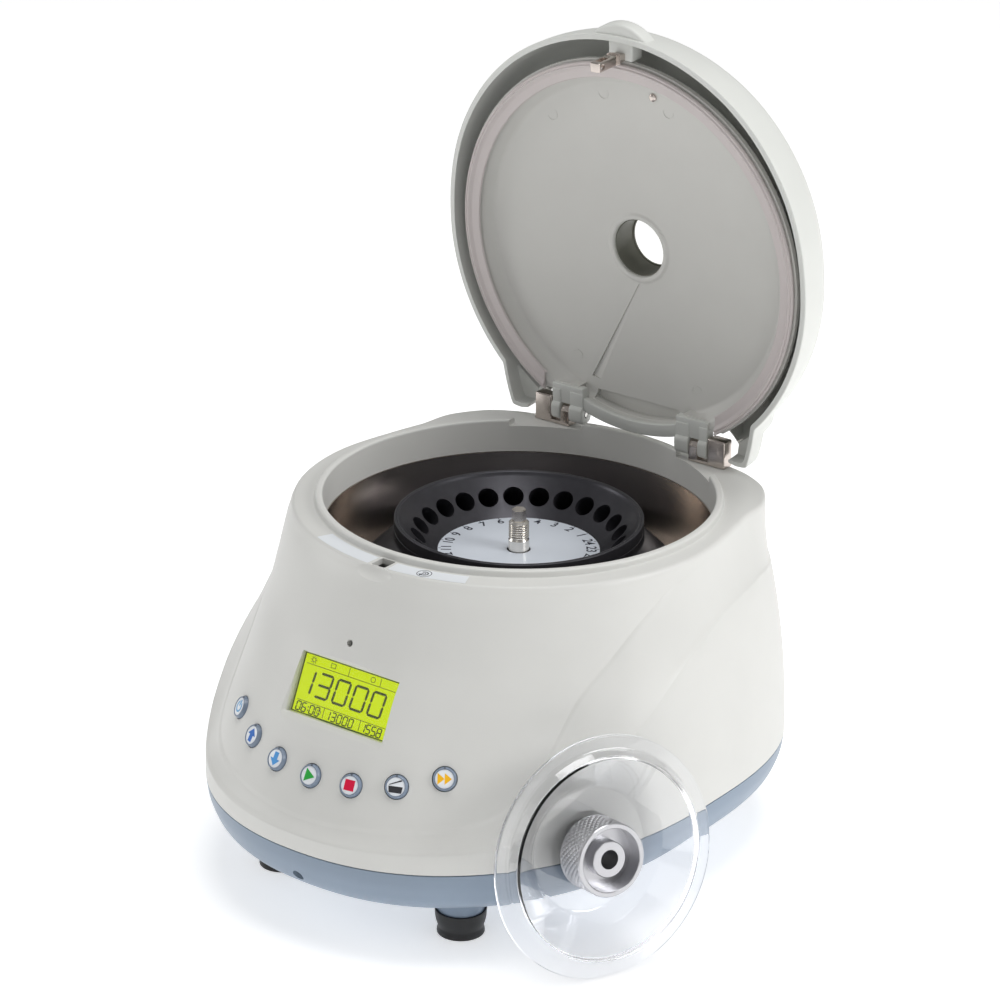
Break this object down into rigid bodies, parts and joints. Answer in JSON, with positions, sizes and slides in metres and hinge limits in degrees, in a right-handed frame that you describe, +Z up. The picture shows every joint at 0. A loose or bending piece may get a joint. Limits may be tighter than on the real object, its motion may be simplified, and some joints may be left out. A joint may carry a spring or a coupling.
{
  "type": "laboratory centrifuge",
  "caption": "Benchtop laboratory centrifuge with a hinged lid standing open over an angled tube rotor, and its clear rotor cover leaning on the side.",
  "frame": {"origin": "bottom centre of the bounding box, on the bench plane", "axes": "+Z up, -Y towards the front with the display and buttons, +X to the right of someone facing the machine"},
  "size_m": [0.2964, 0.3128, 0.4163],
  "materials": {
    "housing_plastic": "fine texture, light warm grey",
    "liner_plastic": "satin, grey beige",
    "pan_plastic": "satin, blue grey",
    "button_plastic": "satin blue grey ring with a white face",
    "black_rubber": "matt",
    "seal_rubber": "satin, pale",
    "stainless": "brushed round the spindle",
    "plated_steel": "plated",
    "black_anodised": "black anodised",
    "satin_aluminium": "satin, turned",
    "label_film": "printed film",
    "clear_plastic": "clear, polished",
    "lcd_panel": "yellow green display",
    "circuit_board": "green laminate",
    "black_plastic": "fine texture",
    "copper_winding": "enamelled wire"
  },
  "bodies": {
    "base": {"upper_housing": "housing_plastic", "base_pan": "pan_plastic", "foot_front_left": "black_rubber", "foot_front_right": "black_rubber", "foot_rear_left": "black_rubber", "foot_rear_right": "black_rubber", "pan_screw_1": "plated_steel", "pan_screw_2": "plated_steel", "pan_screw_3": "plated_steel", "pan_screw_4": "plated_steel", "chamber_bowl": "stainless", "safety_ring": "plated_steel", "shaft_boot": "black_rubber", "chassis_frame": "plated_steel", "motor_housing": "black_plastic", "motor_end_cap": "plated_steel", "upper_bearing": "plated_steel", "lower_bearing": "plated_steel", "motor_stator": "copper_winding", "motor_mount_1": "black_rubber", "motor_mount_2": "black_rubber", "motor_mount_3": "black_rubber", "display_window": "clear_plastic", "display_module": "lcd_panel", "display_board": "circuit_board", "button_board": "circuit_board", "hinge_pin_left": "plated_steel", "hinge_bracket_left": "plated_steel", "hinge_pin_right": "plated_steel", "hinge_bracket_right": "plated_steel", "lock_housing": "black_plastic", "lock_solenoid": "plated_steel", "main_board": "circuit_board", "transformer": "plated_steel", "buzzer": "black_plastic", "fan_frame": "black_plastic", "power_inlet": "black_plastic", "switch_bezel": "black_plastic"},
    "lid": {"lid_shell": "housing_plastic", "lid_liner": "liner_plastic", "lid_gasket": "seal_rubber", "port_window": "clear_plastic", "latch_hook": "plated_steel"},
    "drive_rotor": {"rotor": "black_anodised", "rotor_label": "label_film", "rotor_bolt": "plated_steel", "motor_shaft": "plated_steel", "motor_armature": "plated_steel"},
    "cooling_fan": {"fan_impeller": "black_plastic"},
    "lock_plunger": {"lock_bolt": "plated_steel"},
    "switch_rocker": {"power_switch": "black_plastic"},
    "leaning_cover": {"rotor_cover": "clear_plastic"},
    "cover_nut": {"cover_knob": "satin_aluminium"},
    "button_power_key": {"button_power": "button_plastic"},
    "button_up_key": {"button_up": "button_plastic"},
    "button_down_key": {"button_down": "button_plastic"},
    "button_start_key": {"button_start": "button_plastic"},
    "button_stop_key": {"button_stop": "button_plastic"},
    "button_lid_key": {"button_lid": "button_plastic"},
    "button_short_spin_key": {"button_short_spin": "button_plastic"}
  },
  "joints": [
    {"name": "lid_hinge", "type": "hinge", "parent": "base", "child": "lid", "pos_m": [-0.01422, 0.12762, 0.1893], "axis": [1, 0, 0], "range_deg": [0, 85.8]},
    {"name": "rotor_spin", "type": "hinge", "parent": "base", "child": "drive_rotor", "pos_m": [-0.01422, 0.02763, 0.16], "axis": [0, 0, 1], "continuous": true},
    {"name": "fan_spin", "type": "hinge", "parent": "base", "child": "cooling_fan", "pos_m": [0.02878, 0.13103, 0.082], "axis": [0, 1, 0], "continuous": true},
    {"name": "button_power_press", "type": "slide", "parent": "base", "child": "button_power_key", "axis": [0.488, 0.7381, -0.4659], "range_m": [0, 0.0012], "stiffness_N_per_m": 400},
    {"name": "button_up_press", "type": "slide", "parent": "base", "child": "button_up_key", "axis": [0.3267, 0.8161, -0.4767], "range_m": [0, 0.0012], "stiffness_N_per_m": 400},
    {"name": "button_down_press", "type": "slide", "parent": "base", "child": "button_down_key", "axis": [0.15, 0.8605, -0.4868], "range_m": [0, 0.0012], "stiffness_N_per_m": 400},
    {"name": "button_start_press", "type": "slide", "parent": "base", "child": "button_start_key", "axis": [0, 0.8737, -0.4865], "range_m": [0, 0.0012], "stiffness_N_per_m": 400},
    {"name": "button_stop_press", "type": "slide", "parent": "base", "child": "button_stop_key", "axis": [-0.15, 0.8605, -0.4868], "range_m": [0, 0.0012], "stiffness_N_per_m": 400},
    {"name": "button_lid_press", "type": "slide", "parent": "base", "child": "button_lid_key", "axis": [-0.3267, 0.8161, -0.4767], "range_m": [0, 0.0012], "stiffness_N_per_m": 400},
    {"name": "button_short_spin_press", "type": "slide", "parent": "base", "child": "button_short_spin_key", "axis": [-0.488, 0.7381, -0.4659], "range_m": [0, 0.0012], "stiffness_N_per_m": 400},
    {"name": "lock_bolt_slide", "type": "slide", "parent": "base", "child": "lock_plunger", "axis": [-1, 0, 0], "range_m": [0, 0.009], "stiffness_N_per_m": 60},
    {"name": "power_switch_rock", "type": "hinge", "parent": "base", "child": "switch_rocker", "pos_m": [-0.0408, 0.15197, 0.08393], "axis": [-0.9983, -0.0584, 0], "range_deg": [-16, 0]},
    {"name": "cover_take_away", "type": "slide", "parent": "base", "child": "leaning_cover", "axis": [0.9252, -0.3795, 0], "range_m": [0, 0.08]},
    {"name": "cover_knob_turn", "type": "hinge", "parent": "leaning_cover", "child": "cover_nut", "pos_m": [0.12188, -0.08157, 0.0606], "axis": [0.9117, -0.3739, 0.1702], "continuous": true}
  ]
}
